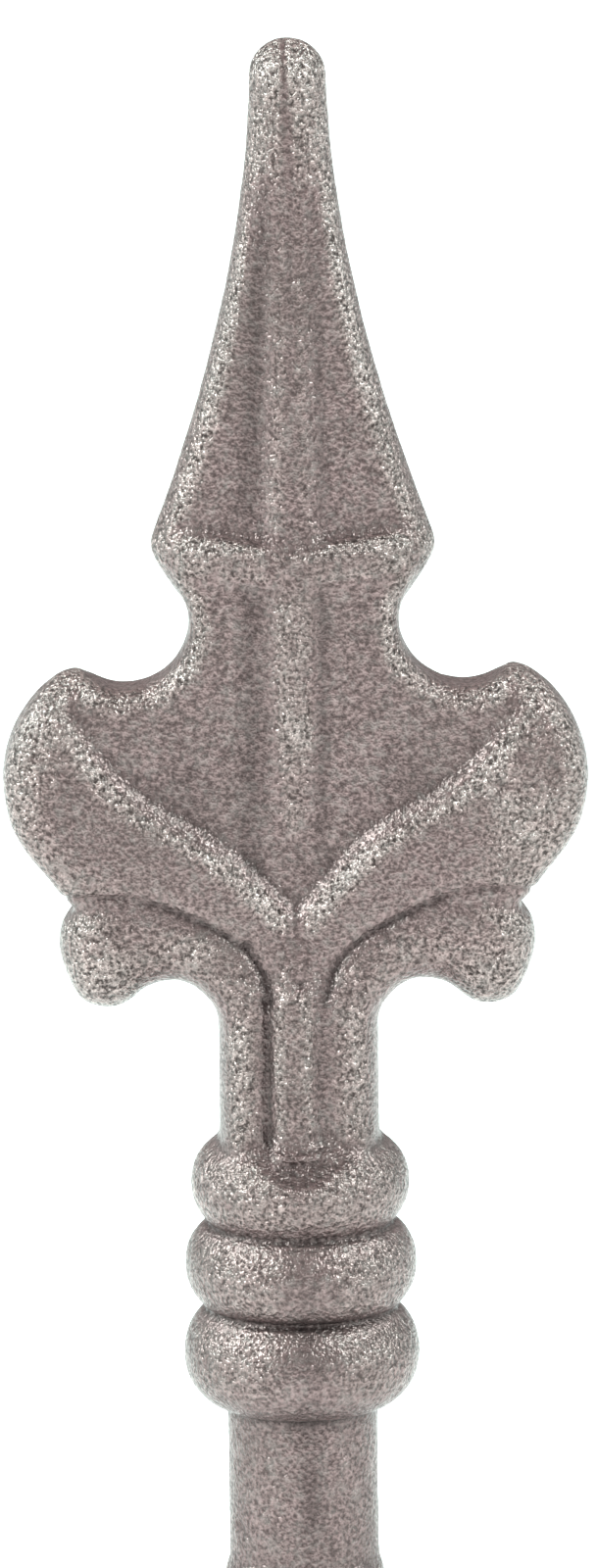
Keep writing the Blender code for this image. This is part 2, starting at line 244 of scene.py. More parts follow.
def smooth_path(rows, steps):
    """Rows of numbers with steps - 1 more rows between each two, on a curve through them all."""
    last = len(rows) - 1
    path = []
    for i in range(last):
        before, start, end, after = (np.array(rows[min(max(i + k, 0), last)]) for k in (-1, 0, 1, 2))
        for step in range(steps):
            t = step / steps
            path.append(
                0.5 * (2 * start + (end - before) * t + (2 * before - 5 * start + 4 * end - after) * t**2
                       + (3 * start - before - 3 * end + after) * t**3)
            )
    path.append(np.array(rows[last]))
    return path


def loft(bm, rings):
    """Adds a closed skin through rings of points, with a flat end on the first and the last."""
    loops = [[bm.verts.new(point) for point in ring] for ring in rings]
    count = len(loops[0])
    faces = []
    for below, above in zip(loops, loops[1:]):
        for i in range(count):
            j = (i + 1) % count
            faces.append(bm.faces.new((below[i], below[j], above[j], above[i])))
    faces.append(bm.faces.new(loops[0]))
    faces.append(bm.faces.new(loops[-1]))
    bmesh.ops.triangulate(bm, faces=faces[-2:])


def ladder(bm, rungs, square_upper=2.0, square_lower=2.0):
    """A limb whose rungs are (upper x, z, lower x, z, half depth), rounded between its two edges.

    A squareness of 2 gives an ellipse, and more of it a fuller edge with a steeper side.
    """
    rings = []
    for upper_x, upper_z, lower_x, lower_z, depth in smooth_path(rungs, PATH_STEPS):
        mid_x = (upper_x + lower_x) / 2
        mid_z = (upper_z + lower_z) / 2
        ring = []
        for step in range(4 * SECTION_STEPS):
            turn = math.pi / 2 * (step + 0.5) / SECTION_STEPS
            across = math.cos(turn)
            out = math.sin(turn)
            square = square_upper if across > 0 else square_lower
            along = math.copysign(abs(across) ** (2 / square), across)
            rise = math.copysign(abs(out) ** (2 / square), out)
            ring.append((mid_x + (upper_x - mid_x) * along, -depth * rise, mid_z + (upper_z - mid_z) * along))
        rings.append(ring)
    loft(bm, rings)


def leaf_point(x_share, z_share):
    """A place on the leaf, as shares of its half width and its height."""
    return LEAF_HALF_WIDTH * x_share, LEAF_Z + LEAF_HEIGHT * z_share


def leaf_rung(upper, lower, depth):
    return (*leaf_point(*upper), *leaf_point(*lower), depth)


def mirrored(rungs):
    return [(-ux, uz, -lx, lz, depth) for ux, uz, lx, lz, depth in rungs]


def ring_radius(ring, z):
    """The radius of one ring at a level, or 0 above and below it."""
    centre = (RING_3_Z, RING_2_Z, RING_1_Z)[ring]
    offset = abs(z - centre) / (RING_HEIGHT[ring] / 2)
    if offset >= 1:
        return 0.0
    bulge = RING_BULGE + (RING_PROUD[ring] - RING_PROUD[1])
    fall = 1 - (1 - offset**RING_FULLNESS) ** (1 / RING_FULLNESS)
    return SHANK_RADIUS + RING_PROUD[ring] - bulge * fall


def turned_radius(z):
    if z < FOOT_HEIGHT:
        return SHANK_RADIUS + FOOT_LIP * math.sqrt(1 - (z / FOOT_HEIGHT) ** 4)
    return max(SHANK_RADIUS, *(ring_radius(ring, z) for ring in range(3)))


def turned_base(bm):
    """Shank, rolled foot and rings, as one turned profile."""
    top = RING_1_Z + RING_HEIGHT[2] / 2 - TURNED_TOP_GAP
    count = round(top / TURNED_STEP)
    rings = []
    for level in range(count + 1):
        z = top * level / count
        radius = turned_radius(z)
        turns = [2 * math.pi * i / ROUND_SIDES for i in range(ROUND_SIDES)]
        tilt = RING_TILT * ease(0.9 * SHANK_LENGTH, SHANK_LENGTH, z)
        rings.append(
            [(radius * math.cos(t), radius * math.sin(t), z + tilt * radius * math.sin(t)) for t in turns]
        )
    loft(bm, rings)


def rod(bm, side):
    """One side rod of the stem, which runs out at the top into a curl. side is 1 at right and -1 at left."""
    inner = side * BEAD_SHIFT + BEAD_HALF_WIDTH + CHANNEL_WIDTH / 2
    bend = LEAF_Z - 0.2 * STEM_LENGTH
    foot = RING_1_Z - 0.05 * RING_HEIGHT[2]
    rungs = [(inner, z, STEM_HALF_WIDTH, z, ROD_DEPTH) for z in (foot, STEM_Z, bend)]
    for upper, lower, fullness in (
        ((0.085, 0.035), (0.272, -0.020), 1.18),
        ((0.125, 0.118), (0.293, 0.015), 1.12),
        ((0.225, 0.188), (0.362, 0.058), 1.05),
        ((0.412, 0.252), (0.435, 0.069), 1.0),
        ((0.560, 0.274), (0.520, 0.054), 1.0),
        ((0.672, 0.276), (0.585, 0.020), 1.0),
        ((0.730, 0.254), (0.650, 0.007), 0.95),
        ((0.774, 0.218), (0.737, 0.024), 0.80),
        ((0.805, 0.190), (0.785, 0.078), 0.50),
        ((0.815, 0.155), (0.812, 0.125), 0.15),
    ):
        rungs.append(leaf_rung(upper, lower, fullness * CURL_DEPTH))
    ladder(bm, rungs if side > 0 else mirrored(rungs), 4.6, 2.3)


def arm_lift(side, x_share):
    """How far one arm of the V lies off its true height, as a share of the leaf's height."""
    lift = RIGHT_ARM_LIFT if side > 0 else LEFT_ARM_LIFT
    return lift / LEAF_HEIGHT * ease(0.0, 0.2, x_share) * (1 - ease(0.66, 0.75, x_share))


def lobe(bm, side):
    """One upper lobe. It leaves the head of the bead and its upper edge is one arm of the raised V."""
    rungs = []
    for upper, lower, fullness in (
        ((-0.095, 0.060), (0.050, -0.020), 0.95),
        ((-0.080, 0.168), (0.140, 0.080), 1.0),
        ((0.062, 0.275), (0.205, 0.120), 1.0),
        ((0.240, 0.390), (0.352, 0.184), 1.0),
        ((0.420, 0.465), (0.612, 0.232), 1.0),
        ((0.535, 0.515), (0.765, 0.241), 1.0),
        ((0.615, 0.563), (0.855, 0.306), 0.98),
        ((0.672, 0.612), (0.928, 0.364), 0.95),
        ((0.712, 0.655), (0.980, 0.430), 0.92),
        ((0.750, 0.690), (1.000, 0.530), 0.86),
        ((0.745, 0.725), (0.962, 0.626), 0.74),
        ((0.728, 0.749), (0.885, 0.703), 0.54),
        ((0.735, 0.762), (0.800, 0.752), 0.22),
    ):
        lifted = (upper[0], upper[1] + arm_lift(side, upper[0]))
        rungs.append(leaf_rung(lifted, lower, fullness * LOBE_DEPTH))
    ladder(bm, rungs if side > 0 else mirrored(rungs), 4.5, 3.6)


def bead(bm):
    """The bead on the axis between the rods, its head lost in the root of the V."""
    rungs = []
    for z, spread, depth in (
        (RING_1_Z - 0.12 * RING_HEIGHT[2], 1.0, BEAD_DEPTH),
        (STEM_Z, 1.0, BEAD_DEPTH),
        (LEAF_Z, 1.0, BEAD_DEPTH),
        (LEAF_Z + 0.08 * LEAF_HEIGHT, 0.95, mix(BEAD_DEPTH, LOBE_DEPTH, 0.5)),
        (LEAF_Z + 0.17 * LEAF_HEIGHT, 0.7, 0.98 * LOBE_DEPTH),
    ):
        half = BEAD_HALF_WIDTH * spread
        rungs.append((BEAD_SHIFT + half, z, BEAD_SHIFT - half, z, depth))
    ladder(bm, rungs, 5.0, 5.0)


def stem_core(bm):
    """What fills the stem behind its channels."""
    half = STEM_HALF_WIDTH - 1.2 * MM
    top = LEAF_Z + 0.14 * LEAF_HEIGHT
    rungs = [(half, z, -half, z, CORE_DEPTH) for z in (RING_1_Z - 0.2 * RING_HEIGHT[2], STEM_Z, LEAF_Z)]
    rungs.append((0.8 * half, top, -0.8 * half, top, CORE_DEPTH * 0.9))
    ladder(bm, rungs, 2.6, 2.6)


def field_outline():
    """Right half of the neck and field, from the bar down: a round notch, then a line hidden in the lobe."""
    centre_x, centre_z = leaf_point(0.580, 0.865)
    radius = 0.225 * LEAF_HALF_WIDTH
    start = math.radians(140)
    end = math.radians(307)
    steps = 42
    points = [(centre_x + radius * math.cos(start), SHOULDER_Z - NECK_SINK)]
    for step in range(steps + 1):
        turn = mix(start, end, step / steps)
        points.append((centre_x + radius * math.cos(turn), centre_z + radius * math.sin(turn)))
    for share in ((0.785, 0.705), (0.80, 0.64), (0.75, 0.52), (0.55, 0.37), (0.28, 0.22)):
        points.append(leaf_point(*share))
    return points


def field(bm):
    """The flat neck and field, a plate with a rounded edge."""
    right = field_outline()
    outline = right + [leaf_point(0, 0.14)] + [(-x, z) for x, z in reversed(right)]
    count = len(outline)
    inward = []
    for i in range(count):
        before = outline[i - 1]
        after = outline[(i + 1) % count]
        run = math.dist(before, after)
        inward.append(((after[1] - before[1]) / run, (before[0] - after[0]) / run))
    steps = 8
    profile = []
    for step in range(steps + 1):
        turn = math.pi / 2 * step / steps
        profile.append((FIELD_EDGE * (1 - math.sin(turn)), FIELD_DEPTH - FIELD_EDGE * (1 - math.cos(turn))))
    rings = []
    for face, edge in ((-1, profile), (1, profile[::-1])):
        for inset, depth in edge:
            rings.append([(x + nx * inset, face * depth, z + nz * inset)
                          for (x, z), (nx, nz) in zip(outline, inward)])
    loft(bm, rings)


def leaf_rib(bm):
    """The midrib on the neck, which fades out above the root of the V."""
    rungs = []
    for z_share, width, depth in (
        (1.0, 1.0, LEAF_RIB_DEPTH),
        (0.80, 1.0, LEAF_RIB_DEPTH),
        (0.62, 0.95, mix(FIELD_DEPTH, LEAF_RIB_DEPTH, 0.8)),
        (0.45, 0.85, mix(FIELD_DEPTH, LEAF_RIB_DEPTH, 0.4)),
        (0.33, 0.7, 0.95 * FIELD_DEPTH),
    ):
        x, z = leaf_point(0, z_share)
        half = 1.1 * RIB_HALF_WIDTH * width
        rungs.append((half, z, -half, z, depth))
    ladder(bm, rungs, 3.6, 3.6)


def bar(bm):
    """The raised bar under the spear. It sags to a shallow V at the axis."""
    middle = SHOULDER_Z - BAR_SINK
    rungs = []
    for share in (-1, -0.8, -0.4, 0, 0.4, 0.8, 1):
        x = share * (SHOULDER_HALF_WIDTH - BAR_END_INSET)
        z = middle - BAR_SAG * (1 - abs(share))
        half = BAR_HALF_HEIGHT * (0.5 if abs(share) == 1 else 1.0)
        depth = BAR_DEPTH * (0.3 if abs(share) == 1 else 0.9 if abs(share) == 0.8 else 1.0)
        rungs.append((x, z + half, x, z - half, depth))
    ladder(bm, rungs, 4.5, 4.5)


def spear_half_width(z):
    """Swept in from the shoulder to the tip."""
    rise = (z - SHOULDER_Z) / (SPEAR_HEIGHT - TIP_RADIUS)
    return mix(TIP_RADIUS, SHOULDER_HALF_WIDTH, (1 - min(rise, 1.0)) ** SPEAR_SWEEP)


def spear_section(half_width, rib_depth, panel_depth, rim, rib_half, roundness, z):
    """One level of the spear: a rounded rib between bevelled flat panels, or near the tip an oval."""
    lift = rib_depth - panel_depth
    inner = min(rib_half * 1.25, half_width - rim - PANEL_LEAST)
    quarter = [
        (0.0, rib_depth),
        (0.45 * inner, panel_depth + 0.90 * lift),
        (0.78 * inner, panel_depth + 0.50 * lift),
        (inner, panel_depth),
        (mix(inner, half_width - rim, 0.55), 0.97 * panel_depth),
        (half_width - rim, 0.97 * panel_depth),
        (half_width - 0.50 * rim, 0.78 * panel_depth),
        (half_width - 0.14 * rim, 0.42 * panel_depth),
        (half_width, 0.0),
    ]
    last = len(quarter) - 1
    shaped = []
    for i, (x, depth) in enumerate(quarter):
        turn = math.pi / 2 * i / last
        oval_x = half_width * math.sin(turn)
        oval_depth = rib_depth * math.cos(turn)
        shaped.append((mix(x, oval_x, roundness), mix(depth, oval_depth, roundness)))
    half = [(-x, -depth) for x, depth in reversed(shaped)] + [(x, -depth) for x, depth in shaped[1:]]
    front = smooth_path(half, 3)
    back = [(x, -depth) for x, depth in reversed(front[1:-1])]
    return [(x, y, z) for x, y in front + back]


def spear(bm):
    """The spear, from under the bar to its blunt tip."""
    rings = []
    foot = SHOULDER_Z - SPEAR_FOOT_SINK
    shares = smooth_path([(0.0, 0.79), (0.45, 0.91), (0.72, 0.97), (0.90, 0.998)], 5)
    for level, share in shares:
        z = mix(foot, SHOULDER_Z, level)
        rings.append(
            spear_section(share * SHOULDER_HALF_WIDTH, SPEAR_RIB_DEPTH, PANEL_DEPTH, RIM_WIDTH,
                          RIB_HALF_WIDTH, 0.0, z)
        )
    dome = TIP_Z - TIP_RADIUS
    steps = 80
    for step in range(steps + 1):
        z = mix(SHOULDER_Z + 0.5 * MM, dome, step / steps)
        rise = (z - SHOULDER_Z) / SPEAR_HEIGHT
        width = spear_half_width(z)
        rib_depth = mix(SPEAR_RIB_DEPTH, TIP_DEPTH, ease(0.1, 0.9, rise))
        rim = RIM_WIDTH * mix(1.0, 0.6, ease(0.0, 0.7, rise))
        rib_half = RIB_HALF_WIDTH * mix(1.0, 0.45, rise)
        rings.append(
            spear_section(width, rib_depth, PANEL_DEPTH, rim, rib_half, ease(0.55, 0.85, rise), z)
        )
    dome_steps = 16
    for step in range(1, dome_steps):
        turn = math.pi / 2 * step / dome_steps
        rings.append(
            spear_section(TIP_RADIUS * math.cos(turn), TIP_DEPTH * math.cos(turn), PANEL_DEPTH, RIM_WIDTH,
                          RIB_HALF_WIDTH, 1.0, dome + TIP_RADIUS * math.sin(turn))
        )
    loft(bm, rings)


def add_node(tree, kind, settings=(), **inputs):
    """One node, with its settings and its inputs, which are values or other nodes' outputs."""
    node = tree.nodes.new(kind)
    for name, value in dict(settings).items():
        setattr(node, name, value)
    for name, value in inputs.items():
        socket = node.inputs[int(name[1:])] if name[0] == "_" else node.inputs[name.replace("_", " ")]
        if isinstance(value, bpy.types.NodeSocket):
            tree.links.new(value, socket)
        else:
            socket.default_value = value
    return node


def srgb(code):
    """A hex colour as the linear colour that a shader takes."""
    values = [int(code[i : i + 2], 16) / 255 for i in (1, 3, 5)]
    linear = [v / 12.92 if v <= 0.04045 else ((v + 0.055) / 1.055) ** 2.4 for v in values]
    return (*linear, 1.0)


def blasted_iron():
    """Grey iron, sand-cast and shot-blasted: dull, pinkish grey, glinting where grains face the light."""
    material = bpy.data.materials.new("shot_blasted_grey_iron")
    material.use_nodes = True
    tree = material.node_tree
    shader = tree.nodes["Principled BSDF"]
    place = add_node(tree, "ShaderNodeTexCoord").outputs["Object"]
    # Sand grain, drawn coarser than its real 0.2 to 0.3 mm so that the picture can hold it, and its clusters
    grain = add_node(tree, "ShaderNodeTexNoise", Vector=place, Scale=1 / GRAIN_SIZE, Detail=1.2,
                     Roughness=0.6)
    cluster = add_node(tree, "ShaderNodeTexNoise", Vector=place, Scale=1 / CLUSTER_SIZE, Detail=3.0,
                       Roughness=0.7)
    # Slow change of tone over the casting
    stain = add_node(tree, "ShaderNodeTexNoise", Vector=place, Scale=1 / STAIN_SIZE, Detail=2.0)
    speck = add_node(tree, "ShaderNodeMapRange", Value=grain.outputs["Fac"], From_Min=0.34, From_Max=0.68)
    tone = add_node(tree, "ShaderNodeMix", {"data_type": "RGBA"}, Factor=speck.outputs["Result"],
                    _6=srgb(FLAT_TONES[0]), _7=srgb(FLAT_TONES[1]))
    # Rounded forms are struck harder than flats: their grains differ more in tone and in slope, and glint
    hollow = add_node(tree, "ShaderNodeAttribute", {"attribute_name": "hollow"})
    rounded = add_node(tree, "ShaderNodeMapRange", Value=hollow.outputs["Fac"], From_Min=-0.05,
                       From_Max=-0.45)
    rounded_tone = add_node(tree, "ShaderNodeMix", {"data_type": "RGBA"}, Factor=speck.outputs["Result"],
                            _6=srgb(ROUNDED_TONES[0]), _7=srgb(ROUNDED_TONES[1]))
    toned = add_node(tree, "ShaderNodeMix", {"data_type": "RGBA"}, Factor=rounded.outputs["Result"],
                     _6=tone.outputs[2], _7=rounded_tone.outputs[2])
    drift = add_node(tree, "ShaderNodeMapRange", Value=stain.outputs["Fac"], From_Min=0.3, From_Max=0.7,
                     To_Min=0.0, To_Max=0.35)
    stained = add_node(tree, "ShaderNodeMix", {"data_type": "RGBA"}, Factor=drift.outputs["Result"],
                       _6=toned.outputs[2], _7=srgb(STAIN_TONE))
    # Clusters of grain that the shot has cleaned, a little lighter and without the pink
    clean = add_node(tree, "ShaderNodeMapRange", Value=cluster.outputs["Fac"], From_Min=0.48, From_Max=0.72,
                     To_Min=0.0, To_Max=0.45)
    colour = add_node(tree, "ShaderNodeMix", {"data_type": "RGBA"}, Factor=clean.outputs["Result"],
                      _6=stained.outputs[2], _7=srgb(CLEAN_TONE))
    # Scale that the shot doesn't reach stays in the hollows and is deepened there into painted shade, and
    # raised edges are struck brighter, partly wear and partly painted highlight
    scale_and_shade = add_node(tree, "ShaderNodeMapRange", Value=hollow.outputs["Fac"], From_Min=0.15, From_Max=1.6,
                     To_Min=0.0, To_Max=0.75)
    darkened = add_node(tree, "ShaderNodeMix", {"data_type": "RGBA"}, Factor=scale_and_shade.outputs["Result"],
                        _6=colour.outputs[2], _7=srgb(SCALE_AND_SHADE_TONE))
    # Painted highlight and painted glints on raised edges and rounded forms, over their real wear
    struck_and_highlight = add_node(tree, "ShaderNodeMapRange", Value=hollow.outputs["Fac"], From_Min=-0.25,
                      From_Max=-1.5, To_Min=0.0, To_Max=0.45)
    struck_highlight_tone = add_node(tree, "ShaderNodeMix", {"data_type": "RGBA"}, Factor=speck.outputs["Result"],
                           _6=srgb(STRUCK_AND_HIGHLIGHT_TONES[0]), _7=srgb(STRUCK_AND_HIGHLIGHT_TONES[1]))
    brightened = add_node(tree, "ShaderNodeMix", {"data_type": "RGBA"}, Factor=struck_and_highlight.outputs["Result"],
                          _6=darkened.outputs[2], _7=struck_highlight_tone.outputs[2])
    tree.links.new(brightened.outputs[2], shader.inputs["Base Color"])
    shader.inputs["Metallic"].default_value = 0.8
    dull = add_node(tree, "ShaderNodeMapRange", Value=speck.outputs["Result"], To_Min=0.46, To_Max=0.33)
    peened = add_node(tree, "ShaderNodeMapRange", Value=rounded.outputs["Result"], To_Min=1.0, To_Max=0.82)
    rough = add_node(tree, "ShaderNodeMath", {"operation": "MULTIPLY"}, _0=dull.outputs["Result"],
                     _1=peened.outputs["Result"])
    tree.links.new(rough.outputs["Value"], shader.inputs["Roughness"])
    facets = add_node(tree, "ShaderNodeMapRange", Value=rounded.outputs["Result"], To_Min=0.5, To_Max=0.95)
    coarse = add_node(tree, "ShaderNodeBump", Height=cluster.outputs["Fac"],
                      Strength=facets.outputs["Result"], Distance=0.4 * MM)
    fine = add_node(tree, "ShaderNodeBump", Height=grain.outputs["Fac"], Strength=facets.outputs["Result"],
                    Distance=0.5 * MM, Normal=coarse.outputs["Normal"])
    tree.links.new(fine.outputs["Normal"], shader.inputs["Normal"])
    return material


def socket_id(tree, name):
    return next(item.identifier for item in tree.interface.items_tree if item.name == name)


def skin_tree(material):
    """Rounds the joins of the casting, gives it lumps and pits, and notes how hollow each place is."""
    tree = bpy.data.node_groups.new("cast_skin", "GeometryNodeTree")
    tree.interface.new_socket("Geometry", in_out="INPUT", socket_type="NodeSocketGeometry")
    for name, kind, _ in SKIN_SETTINGS:
        tree.interface.new_socket(name, in_out="INPUT", socket_type=kind)
    tree.interface.new_socket("Geometry", in_out="OUTPUT", socket_type="NodeSocketGeometry")
    given = add_node(tree, "NodeGroupInput").outputs
    place = add_node(tree, "GeometryNodeInputPosition").outputs["Position"]
    eased = add_node(tree, "GeometryNodeBlurAttribute", {"data_type": "FLOAT_VECTOR"}, Value=place,
                     Iterations=given["Fillet Passes"])
    rounded = add_node(tree, "GeometryNodeSetPosition", Geometry=given["Geometry"],
                       Position=eased.outputs["Value"])
    lump_scale = add_node(tree, "ShaderNodeMath", {"operation": "DIVIDE"}, _0=1.0, _1=given["Lump Size"])
    lumps = add_node(tree, "ShaderNodeTexNoise", {"noise_dimensions": "4D"}, W=given["Seed"],
                     Scale=lump_scale.outputs["Value"], Detail=2.0)
    lump_rise = add_node(tree, "ShaderNodeMapRange", Value=lumps.outputs["Fac"], To_Min=-1.0, To_Max=1.0)
    lump = add_node(tree, "ShaderNodeMath", {"operation": "MULTIPLY"}, _0=lump_rise.outputs["Result"],
                    _1=given["Lump Height"])
    pit_scale = add_node(tree, "ShaderNodeMath", {"operation": "DIVIDE"}, _0=1.0, _1=given["Pit Size"])
    pits = add_node(tree, "ShaderNodeTexNoise", {"noise_dimensions": "4D"}, W=given["Seed"],
                    Scale=pit_scale.outputs["Value"], Detail=1.0)
    sunk = add_node(tree, "ShaderNodeMapRange", Value=pits.outputs["Fac"], From_Min=0.62, From_Max=0.80)
    pit = add_node(tree, "ShaderNodeMath", {"operation": "MULTIPLY"}, _0=sunk.outputs["Result"],
                   _1=given["Pit Depth"])
    rise = add_node(tree, "ShaderNodeMath", {"operation": "SUBTRACT"}, _0=lump.outputs["Value"],
                    _1=pit.outputs["Value"])
    outward = add_node(tree, "GeometryNodeInputNormal").outputs["Normal"]
    swollen = add_node(tree, "ShaderNodeMath", {"operation": "ADD"}, _0=rise.outputs["Value"],
                       _1=given["Swell"])
    offset = add_node(tree, "ShaderNodeVectorMath", {"operation": "SCALE"}, _0=outward,
                      Scale=swollen.outputs["Value"])
    raised = add_node(tree, "GeometryNodeSetPosition", Geometry=rounded.outputs["Geometry"],
                      Offset=offset.outputs["Vector"])
    around = add_node(tree, "GeometryNodeBlurAttribute", {"data_type": "FLOAT_VECTOR"}, Value=place,
                      Iterations=given["Hollow Passes"])
    from_skin = add_node(tree, "ShaderNodeVectorMath", {"operation": "SUBTRACT"},
                         _0=around.outputs["Value"], _1=place)
    below = add_node(tree, "ShaderNodeVectorMath", {"operation": "DOT_PRODUCT"},
                     _0=from_skin.outputs["Vector"], _1=outward)
    depth = add_node(tree, "ShaderNodeMath", {"operation": "DIVIDE"}, _0=below.outputs["Value"],
                     _1=given["Hollow Depth"])
    noted = add_node(tree, "GeometryNodeStoreNamedAttribute", Geometry=raised.outputs["Geometry"],
                     Name="hollow", Value=depth.outputs["Value"])
    smooth = add_node(tree, "GeometryNodeSetShadeSmooth", Geometry=noted.outputs["Geometry"])
    whole = add_node(tree, "GeometryNodeRealizeInstances", Geometry=smooth.outputs["Geometry"])
    dressed = add_node(tree, "GeometryNodeSetMaterial", Geometry=whole.outputs["Geometry"], Material=material)
    add_node(tree, "NodeGroupOutput", Geometry=dressed.outputs["Geometry"])
    return tree


def plain_mesh(obj):
    """The object's shape as its modifiers leave it, as a mesh of its own."""
    graph = bpy.context.evaluated_depsgraph_get()
    return bpy.data.meshes.new_from_object(obj.evaluated_get(graph))


def melted_forms():
    """All forms of the casting, melted into one even skin."""
    bm = bmesh.new()
    turned_base(bm)
    stem_core(bm)
    bead(bm)
    for side in (1, -1):
        rod(bm, side)
        lobe(bm, side)
    field(bm)
    leaf_rib(bm)
    bar(bm)
    spear(bm)
    bmesh.ops.recalc_face_normals(bm, faces=bm.faces)
    mesh = bpy.data.meshes.new("forms")
    bm.to_mesh(mesh)
    bm.free()
    forms = bpy.data.objects.new("forms", mesh)
    bpy.context.scene.collection.objects.link(forms)
    remesh = forms.modifiers.new("melt", "REMESH")
    remesh.mode = "VOXEL"
    remesh.voxel_size = SKIN_GRID
    remesh.use_smooth_shade = True
    melted = plain_mesh(forms)
    bpy.data.objects.remove(forms)
    return melted


def line_reach(points, path):
    """How far each point is from a path, seen from the front."""
    flat = points[:, [0, 2]]
    nearest = np.full(len(flat), np.inf)
    for start, end in zip(path, path[1:]):
        start = np.array(start)
        run = np.array(end) - start
        share = np.clip((flat - start) @ run / (run @ run), 0, 1)
        nearest = np.minimum(nearest, np.linalg.norm(flat - start - share[:, None] * run, axis=1))
    return nearest


def upright(x, low, high):
    return [(x, low), (x, high)]


def leaf_line(shares, side):
    """A line of the leaf at one side, drawn smoothly."""
    return [(side * x, z) for x, z in smooth_path([leaf_point(*share) for share in shares], 6)]


def arm_line(side):
    return leaf_line([(x, z + arm_lift(side, x)) for x, z in V_RIDGE], side)


def curl_line(side, stop=None):
    """The crease between lobe and curl, which climbs a little higher at right."""
    lift = GROOVE_LIFT / LEAF_HEIGHT if side > 0 else 0.0
    return leaf_line([(x, z + lift * float(ease(0.2, 0.7, x))) for x, z in CURL_GROOVE[:stop]], side)


def front_lines():
    """Sunken lines, and with a depth below zero raised ones: path, half width, depth."""
    for side, stem_x, stem_depth in ((-1, -3.40 * MM, 0.30 * MM), (1, 2.35 * MM, 0.05 * MM)):
        yield curl_line(side), 0.34 * MM, 0.34 * MM
        yield upright(stem_x, STEM_Z, LEAF_Z + 0.03 * LEAF_HEIGHT), 0.30 * MM, stem_depth
        yield arm_line(side), 0.90 * MM, -0.10 * MM


def tone_lines():
    """Lines on the front that differ in tone alone: path, half width, then darkness (painted shade in the
    creases and above the V, and darker beside the ribs), or below zero painted highlight on the V, the rims
    and the neck rib.
    """
    for side in (-1, 1):
        arm = arm_line(side)
        # Painted highlight under each arm of the V, painted shade above it and in the crease, and painted
        # highlight on the spear's rims
        yield [(x, z - 1.7 * MM) for x, z in arm[4:]], 1.4 * MM, -0.4
        yield [(x, z + 0.3 * MM) for x, z in arm], 0.9 * MM, 0.6
        yield curl_line(side, 5), 0.7 * MM, 0.6
        rim = [(side * (spear_half_width(SHOULDER_Z + rise * MM) - 1.1 * MM), SHOULDER_Z + rise * MM)
               for rise in range(14, 50, 4)]
        yield rim, 0.9 * MM, -0.15
    # Painted highlight down the neck rib, then darker bands beside the neck's and the spear's ribs
    yield upright(-0.6 * MM, LEAF_Z + 20 * MM, SHOULDER_Z - 6 * MM), 2.0 * MM, -0.12
    neck_low = LEAF_Z + 16 * MM
    neck_high = SHOULDER_Z - 6 * MM
    yield [(-4.6 * MM, neck_low), (-4.9 * MM, neck_high)], 1.5 * MM, 0.8
    yield [(2.8 * MM, neck_low), (3.2 * MM, neck_high)], 0.8 * MM, 0.6
    spear_low = SHOULDER_Z + 4 * MM
    spear_high = SHOULDER_Z + 38 * MM
    yield [(-5.0 * MM, spear_low), (-2.9 * MM, spear_high)], 1.4 * MM, 0.8
    yield [(2.9 * MM, spear_low), (2.4 * MM, spear_high)], 0.9 * MM, 0.5


def soft_line(points, path, half_width):
    """1 on a path seen from the front, and fading to 0 at its sides."""
    return np.exp(-((line_reach(points, path) / half_width) ** 2))


def soft_spot(points, x, z, half_x, half_z):
    """1 at a place seen from the front, and fading to 0 around it."""
    return np.exp(-(np.hypot((points[:, 0] - x) / half_x, (points[:, 2] - z) / half_z) ** 2))


def marks(points):
    """How deep the finer marks of the casting sink in at each point."""
    height = points[:, 2]
    front = points[:, 1] < 0
    sink = np.zeros(len(points))
    for path, half_width, depth in front_lines():
        sink += depth * soft_line(points, path, half_width)
    for level, half_width, depth in RING_GROOVES:
        tilted = height - RING_TILT * points[:, 1]
        sink += depth * np.exp(-(((tilted - level) / half_width) ** 2))
    # On the front alone: a crease over the tip, one along the spear's rib, and the holes
    tip_path = [(-0.45 * MM, TIP_Z + 1 * MM), (-0.30 * MM, TIP_Z - 12 * MM)]
    tip_depth = 0.42 * MM * ease(TIP_Z - 11 * MM, TIP_Z - 5 * MM, height)
    sink += front * tip_depth * soft_line(points, tip_path, 0.30 * MM)
    rib_path = upright(0.0, SHOULDER_Z + 3 * MM, TIP_Z - 8 * MM)
    rib_depth = mix(0.15 * MM, 0.30 * MM, ease(SHOULDER_Z + 15 * MM, SHOULDER_Z + 30 * MM, height))
    sink += front * rib_depth * soft_line(points, rib_path, 0.4 * MM)
    for x, z, radius, depth in BLOW_HOLES:
        sink += front * depth * soft_spot(points, x, z, radius, radius)
    return sink


def front_tones(points):
    """Darker beside the ribs, painted shade above the V, in the curl creases, below the lowest ring and down
    the rings' fronts, a real stain down the shank, and below zero painted highlight where the front catches
    the light.
    """
    tones = np.zeros(len(points))
    for path, half_width, tone in tone_lines():
        tones += tone * soft_line(points, path, half_width)
    for x, z, half_x, half_z, tone in TONE_PATCHES:
        tones += tone * soft_spot(points, x * MM, z * MM, half_x * MM, half_z * MM)
    return tones * (points[:, 1] < 0)


def pocket(points):
    """How far each point lies in the pocket above the top ring: a lens that sinks softly from its edge."""
    half_x, _, half_z = POCKET_HALF_SIZE
    centre_z = RING_1_Z + POCKET_RISE * RING_HEIGHT[2] + POCKET_BOW * points[:, 0] ** 2
    reach = np.hypot(points[:, 0] / half_x, (points[:, 2] - centre_z) / half_z)
    return (1 - ease(0.35, 1.1, reach)) * ease(CORE_DEPTH - 2 * MM, CORE_DEPTH, np.abs(points[:, 1]))


